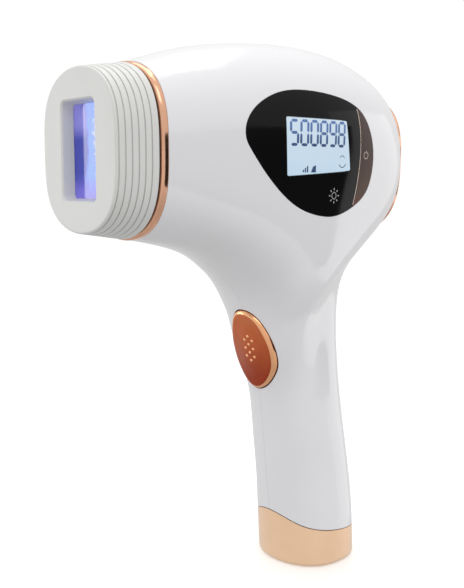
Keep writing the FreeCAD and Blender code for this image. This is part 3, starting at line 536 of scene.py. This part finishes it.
def digit(symbol, x0, z0):
    """Seven-segment strokes of one digit, with its lower left corner at (x0, z0)."""
    w, h, g = DIGIT_W, DIGIT_H, DIGIT_STROKE * 0.16
    ends = {"a": ((0, h), (w, h)), "b": ((w, h), (w, h / 2)), "c": ((w, h / 2), (w, 0)),
            "d": ((0, 0), (w, 0)), "e": ((0, 0), (0, h / 2)), "f": ((0, h / 2), (0, h)),
            "g": ((0, h / 2), (w, h / 2))}
    strokes = []
    for key in SEGMENTS[symbol]:
        a, b = Vector(ends[key][0]), Vector(ends[key][1])
        gap = (b - a).normalized() * g
        shape = bar(a + gap, b - gap, DIGIT_STROKE, 0.55)
        strokes.append([(x0 + p.x + DIGIT_SLANT * p.y, z0 + p.y) for p in shape])
    return strokes


def make_readout():
    low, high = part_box("lcd_pane")
    x0, top = low.x + LCD_FLANGE + READOUT_LEFT, high.z - LCD_FLANGE - READOUT_TOP
    strokes = []
    for k, symbol in enumerate(READOUT):
        strokes += digit(symbol, x0 + k * DIGIT_PITCH, top - DIGIT_H)
    base = low.z + LCD_FLANGE + SIGNS_UP
    for k, tall in enumerate(BAR_HEIGHTS):
        x = x0 + BARS_X + BAR_PITCH * k
        strokes.append([(x, base), (x + BAR_WIDE, base), (x + BAR_WIDE, base + tall), (x, base + tall)])
    strokes.append([(x0 + WEDGE_X + x, base + up) for x, up in WEDGE])
    swirl = (x0 + SWIRL_X, base + SWIRL_UP)
    strokes += stroke(arc(swirl, 0.0019, -150.0, -20.0, 7), 0.0003)
    strokes += stroke(arc((swirl[0] - 0.0002, swirl[1] + 0.0006), 0.0013, 20.0, 150.0, 6), 0.00026)
    printed("lcd_readout", strokes, LCD_TREE, ink_material(), "handset")


BURST_IN, BURST_DOWN = 0.0100, 0.0047          # the burst's centre, from the display's lower right corner
BURST_RING, BURST_RAY, BURST_RAYS = 0.0011, (0.0017, 0.0026), 8
SIGN_IN, SIGN_UP, SIGN_R = 0.0062, 0.0008, 0.0012


def make_marks():
    """A small burst of rays under the display, and the power sign on the crescent key."""
    low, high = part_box("lcd_pane")
    centre = (high.x - BURST_IN, low.z - BURST_DOWN)
    rays = stroke(arc(centre, BURST_RING, 0.0, 360.0, 16), 0.00032)
    for k in range(BURST_RAYS):
        start, end = [polar(centre, reach, 360.0 / BURST_RAYS * k) for reach in BURST_RAY]
        rays.append(bar(start, end, 0.00042))
    printed("burst_mark", rays, LENS_TREE, SILVER_INK, "handset")
    low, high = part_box("power_button")
    centre = (low.x + SIGN_IN, (low.z + high.z) / 2.0 + SIGN_UP)
    sign = stroke(arc(centre, SIGN_R, 125.0, 415.0, 14), 0.00022)
    sign.append(bar((centre[0], centre[1] + 0.0005), (centre[0], centre[1] + 0.0016), 0.00024))
    printed("power_mark", sign, KEY_TREE, GOLD_LINE, "power_button")


def polar(centre, radius, degrees):
    a = math.radians(degrees)
    return centre[0] + radius * math.cos(a), centre[1] + radius * math.sin(a)


# the line between the lens and the key: x, z on one circle
LINE_MIDDLE, LINE_ENDS = (-0.0019, 0.148), ((-0.0064, 0.170), (-0.0086, 0.122))
LINE_IN, LINE_WIDE = 0.00006, 0.00018


def circle_through(a, b, c):
    """Centre and radius of the circle through three (x, z) points."""
    (ax, ay), (bx, by), (cx, cy) = a, b, c
    d = 2.0 * (ax * (by - cy) + bx * (cy - ay) + cx * (ay - by))
    sa, sb, sc = ax * ax + ay * ay, bx * bx + by * by, cx * cx + cy * cy
    ux = (sa * (by - cy) + sb * (cy - ay) + sc * (ay - by)) / d
    uz = (sa * (cx - bx) + sb * (ax - cx) + sc * (bx - ax)) / d
    return (ux, uz), math.hypot(ax - ux, ay - uz)


def make_trim_line():
    """A hair of bright trim in the gap between the lens and the crescent key."""
    centre, radius = circle_through(LINE_ENDS[0], LINE_MIDDLE, LINE_ENDS[1])
    low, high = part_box("power_button")
    count = 44
    verts = []
    for k in range(count + 1):
        z = low.z + 0.0006 + (high.z - low.z - 0.0012) * k / count
        x = centre[0] + math.sqrt(radius ** 2 - (z - centre[1]) ** 2)
        hit = LENS_TREE.ray_cast(Vector((x - 0.0004, -0.06, z)), Vector((0.0, 1.0, 0.0)))[0]
        y = hit.y if hit else verts[-4][1]
        xa, xb = x + LINE_IN, x + LINE_IN + LINE_WIDE
        verts += [(xa, y, z), (xb, y, z), (xb, y + 0.0009, z), (xa, y + 0.0009, z)]
    faces = ring_faces(count + 1, 4) + [(0, 1, 2, 3), tuple(range(4 * count + 3, 4 * count - 1, -1))]
    outward(piece("lens_trim_line", verts, faces, GOLD_LINE, "handset"))


make_readout()
make_marks()
make_trim_line()


# ---- trigger ------------------------------------------------------------------------------------
JOINTS = {joint["name"]: joint for joint in frame["record"]["behaviour"]["joints"]}
PRESS = Vector(JOINTS["trigger_press"]["axis"])
ALONG = Vector((-PRESS.z, 0.0, PRESS.x))
AROUND = 96
PAD_ROUND, PAD_DISH, PAD_SLOPE = 0.0013, 0.00030, 0.0030      # rim radius, depth and width of the dish's edge
PAD_SKIRT, PAD_THICK = 0.0022, 0.0018
DOT_R, DOT_TALL, DOT_ROW, DOT_OUT = 0.00062, 0.00052, 0.00148, 0.0019
DOT_SIDE, DOT_UP = -0.0005, 0.0009
DOT_STEPS, DOT_LEVELS, DOT_SUNK = 16, 5, 0.00008
HIGHLIGHT_RIM_RINGS = 6                  # rings of the pad's rim in lighter copper: a painted highlight
# insets of the pad's rings, from its outline over the rim to the foot of the dish
PAD_INSETS = [0.0, 0.00008, 0.0002, 0.0004, 0.00065, 0.0009, 0.0011, PAD_ROUND, 0.0016, 0.0019, 0.0022,
              0.0025, 0.0029, PAD_ROUND + PAD_SLOPE]
# the pad's underside: share of its radius, distance behind the rim
PAD_UNDER = [(1.0, PAD_SKIRT), (0.97, PAD_SKIRT), (0.94, PAD_THICK), (0.5, PAD_THICK), (0.05, PAD_THICK)]
PAD_CLEAR = 0.00005


def outline_radii(points, count):
    """Distances from the middle to the outline of flat points, at even angles."""
    hull = [Vector(points[i]) for i in geometry.convex_hull_2d(points)]
    radii = []
    for k in range(count):
        a = 2.0 * math.pi * k / count
        way = Vector((math.cos(a), math.sin(a)))
        reach = 0.0
        for p, q in zip(hull, hull[1:] + hull[:1]):
            hit = geometry.intersect_line_line_2d(Vector((0.0, 0.0)), way, p, q)
            if hit is not None:
                reach = max(reach, hit.length)
        radii.append(reach)
    for _ in range(2):
        radii = [(radii[k - 1] + 2.0 * radii[k] + radii[(k + 1) % count]) / 4.0 for k in range(count)]
    return radii


def make_pad():
    """The trigger's pad: a rounded rim, a shallow dish inside it, and a skirt that goes into the handle."""
    low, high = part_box("trigger_button")
    middle = (low + high) / 2.0
    middle.y = 0.0
    flat = []
    for v in NODES["trigger_button"].data.vertices:
        d = v.co - middle
        flat.append((d.y, d.dot(ALONG)))
    radii = outline_radii(flat, AROUND)
    tree = surface("trigger_button")

    def cast(y, s):
        start = middle + Vector((0.0, y, 0.0)) + ALONG * s - PRESS * 0.03
        hit = tree.ray_cast(start, PRESS)
        return None if hit[0] is None else (hit[0] - middle).dot(PRESS)

    samples, heights = [], []
    for k in range(AROUND):
        a = 2.0 * math.pi * k / AROUND
        for part in (0.1, 0.3, 0.5, 0.7, 0.85, 0.95):
            y, s = radii[k] * part * math.cos(a), radii[k] * part * math.sin(a)
            d = cast(y, s)
            if d is not None:
                samples.append(terms(y, s))
                heights.append(d)
    fit = np.linalg.lstsq(np.array(samples), np.array(heights), rcond=None)[0]

    def depth(y, s):
        return float(np.dot(fit, terms(y, s)))

    verts = []
    for inset in PAD_INSETS:
        drop = PAD_ROUND - math.sqrt(max(0.0, PAD_ROUND ** 2 - max(0.0, PAD_ROUND - inset) ** 2))
        t = min(1.0, max(0.0, (inset - PAD_ROUND) / PAD_SLOPE))
        dish = PAD_DISH * t * t * (3.0 - 2.0 * t)
        for k, r in enumerate(radii):
            verts.append(pad_point(middle, r - PAD_CLEAR - inset, k, depth, drop + dish))
    for part in (0.8, 0.6, 0.4, 0.2, 0.05):
        for k, r in enumerate(radii):
            verts.append(pad_point(middle, (r - PAD_INSETS[-1]) * part, k, depth, PAD_DISH))
    rings = len(verts) // AROUND
    verts.append(middle + PRESS * (depth(0.0, 0.0) + PAD_DISH))
    top = len(verts) - 1
    faces = [tuple(reversed(f)) for f in ring_faces(rings, AROUND)]
    faces += [(top, (rings - 1) * AROUND + (k + 1) % AROUND, (rings - 1) * AROUND + k) for k in range(AROUND)]
    under = len(verts)
    for part, extra in PAD_UNDER:
        for k, r in enumerate(radii):
            verts.append(pad_point(middle, (r - PAD_CLEAR) * part, k, depth, PAD_ROUND + extra))
    verts.append(middle + PRESS * (depth(0.0, 0.0) + PAD_ROUND + PAD_THICK))
    faces += [tuple(i + under for i in f) for f in ring_faces(len(PAD_UNDER), AROUND)]
    faces += [(k, (k + 1) % AROUND, under + (k + 1) % AROUND, under + k) for k in range(AROUND)]
    last, end = under + (len(PAD_UNDER) - 1) * AROUND, len(verts) - 1
    faces += [(last + k, last + (k + 1) % AROUND, end) for k in range(AROUND)]
    pad = piece("trigger_pad", verts, faces, COPPER_RED, "trigger")
    # the rim's faces take the lighter copper: a painted highlight
    pad.data.materials.append(COPPER_RIM_HIGHLIGHT)
    for face in range(HIGHLIGHT_RIM_RINGS * AROUND):
        pad.data.polygons[face].material_index = 1
    outward(pad)
    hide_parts("trigger_button")
    return middle, depth


def terms(y, s):
    y, s = y * 100.0, s * 100.0
    return [1.0, s, s * s, s ** 3, y * y, y * y * s, y ** 4, s ** 4]


def pad_point(middle, radius, k, depth, inward):
    a = 2.0 * math.pi * k / AROUND
    y, s = radius * math.cos(a), radius * math.sin(a)
    return middle + Vector((0.0, y, 0.0)) + ALONG * s + PRESS * (depth(y, s) + inward)


def make_dots(middle, depth):
    """Ten raised grip dots in staggered rows of one and two."""
    verts, faces = [], []
    for row in range(-3, 4):
        for y in ((0.0,) if row % 2 else (-DOT_OUT, DOT_OUT)):
            y0, s0 = y + DOT_SIDE, row * DOT_ROW + DOT_UP
            first = len(verts)
            base = depth(y0, s0) + PAD_DISH
            for level in range(DOT_LEVELS):
                a = math.pi / 2.0 * level / DOT_LEVELS
                r, up = DOT_R * math.cos(a), DOT_TALL * math.sin(a)
                for k in range(DOT_STEPS):
                    b = 2.0 * math.pi * k / DOT_STEPS
                    at = Vector((0.0, y0 + r * math.cos(b), 0.0)) + ALONG * (s0 + r * math.sin(b))
                    verts.append(middle + at + PRESS * (base + DOT_SUNK - up))
            verts.append(middle + Vector((0.0, y0, 0.0)) + ALONG * s0 + PRESS * (base + DOT_SUNK - DOT_TALL))
            faces += [tuple(i + first for i in f) for f in ring_faces(DOT_LEVELS, DOT_STEPS)]
            top = first + (DOT_LEVELS - 1) * DOT_STEPS
            tip = len(verts) - 1
            faces += [(top + k, top + (k + 1) % DOT_STEPS, tip) for k in range(DOT_STEPS)]
            faces.append(tuple(first + DOT_STEPS - 1 - k for k in range(DOT_STEPS)))
    # the dots take the lighter copper: painted highlights
    dots = piece("trigger_dots", verts, faces, COPPER_RIM_HIGHLIGHT, "trigger")
    outward(dots)


make_dots(*make_pad())

# ---- stage and light ----------------------------------------------------------------------------
FLOOR_Z = CAD_BOX[0].z - 0.00005
FLOOR_HALF = 12.0
BACKDROP = 1.02                # how bright the tent looks to the camera


def make_floor():
    mesh = bpy.data.meshes.new("floor")
    h = FLOOR_HALF
    corners = [(-h, -h, FLOOR_Z), (h, -h, FLOOR_Z), (h, h, FLOOR_Z), (-h, h, FLOOR_Z)]
    mesh.from_pydata(corners, [], [(0, 1, 2, 3)])
    material, n, shader = start_material("pale_floor", Roughness=0.32, Specular_IOR_Level=0.25)
    tone = n.mix(n.span(n.noise(0.5, 2.0), 0.3, 0.7), (0.86, 0.86, 0.86), (0.88, 0.88, 0.88))
    n.put(shader.inputs["Base Color"], tone)
    n.put(shader.inputs["Emission Color"], (1.0, 1.0, 1.0))
    n.put(shader.inputs["Emission Strength"], 0.22)
    mesh.materials.append(material)
    floor = bpy.data.objects.new("floor", mesh)
    bpy.context.scene.collection.objects.link(floor)
    floor.visible_diffuse = False
    floor.visible_glossy = False


def make_world():
    """A soft white tent: bright overhead, dimmer from the sides and below, plain white to look at."""
    world = bpy.data.worlds.new("tent")
    bpy.context.scene.world = world
    world.use_nodes = True
    n = Nodes(world.node_tree)
    background = next(x for x in world.node_tree.nodes if x.type == "BACKGROUND")
    way = n.add("ShaderNodeTexCoord").outputs["Generated"]
    up = n.add("ShaderNodeSeparateXYZ", {"Vector": way}).outputs["Z"]
    low_glow = n.span(up, -0.9, 0.0, 0.54, 0.80, smooth=True)
    high_glow = n.span(up, 0.0, 0.9, 0.0, 0.16, smooth=True)
    glow = n.math("ADD", low_glow, high_glow)
    seen = n.add("ShaderNodeLightPath").outputs["Is Camera Ray"]
    unseen = n.math("MULTIPLY", n.math("SUBTRACT", 1.0, seen), glow)
    strength = n.math("ADD", unseen, n.math("MULTIPLY", seen, BACKDROP))
    background.inputs["Color"].default_value = (1.0, 1.0, 1.0, 1.0)
    n.put(background.inputs["Strength"], strength)


def softbox(name, at, aim, size, power):
    data = bpy.data.lights.new(name, "AREA")
    data.shape = "RECTANGLE"
    data.size, data.size_y = size
    data.energy = power
    light = bpy.data.objects.new(name, data)
    light.location = at
    light.rotation_euler = (Vector(aim) - Vector(at)).to_track_quat("-Z", "Y").to_euler()
    bpy.context.scene.collection.objects.link(light)
    light.visible_camera = False


def dark_card(name, at, aim, size, glow):
    """A dim card that only shows in reflections, to give the plated rings their depth."""
    mesh = bpy.data.meshes.new(name)
    w, h = size[0] / 2.0, size[1] / 2.0
    mesh.from_pydata([(-w, -h, 0), (w, -h, 0), (w, h, 0), (-w, h, 0)], [], [(0, 1, 2, 3)])
    material, n, shader = start_material(name, Roughness=1.0, Base_Color=(0.0, 0.0, 0.0),
                                         Emission_Color=(1.0, 1.0, 1.0), Emission_Strength=glow,
                                         Specular_IOR_Level=0.0)
    mesh.materials.append(material)
    card = bpy.data.objects.new(name, mesh)
    card.location = at
    card.rotation_euler = (Vector(aim) - Vector(at)).to_track_quat("-Z", "Y").to_euler()
    bpy.context.scene.collection.objects.link(card)
    card.visible_camera = False
    card.visible_diffuse = False
    card.visible_shadow = False


make_floor()
make_world()
softbox("key", (-0.3, -0.6, 0.95), (0.0, 0.0, 0.14), (0.9, 0.5), 1.7)
softbox("top", (0.05, 0.25, 1.0), (0.0, 0.0, 0.15), (0.9, 0.7), 2.4)
softbox("side", (0.8, -0.30, 0.05), (0.0, 0.0, 0.06), (0.7, 0.7), 0.75)
softbox("rim_left", (-0.55, 0.75, 0.10), (0.0, 0.0, 0.06), (0.4, 0.5), 1.2)
dark_card("flag", (0.25, -0.46, 0.09), (-0.08, 0.0, 0.145), (0.52, 0.26), 0.03)

bpy.context.scene.view_settings.view_transform = "Standard"
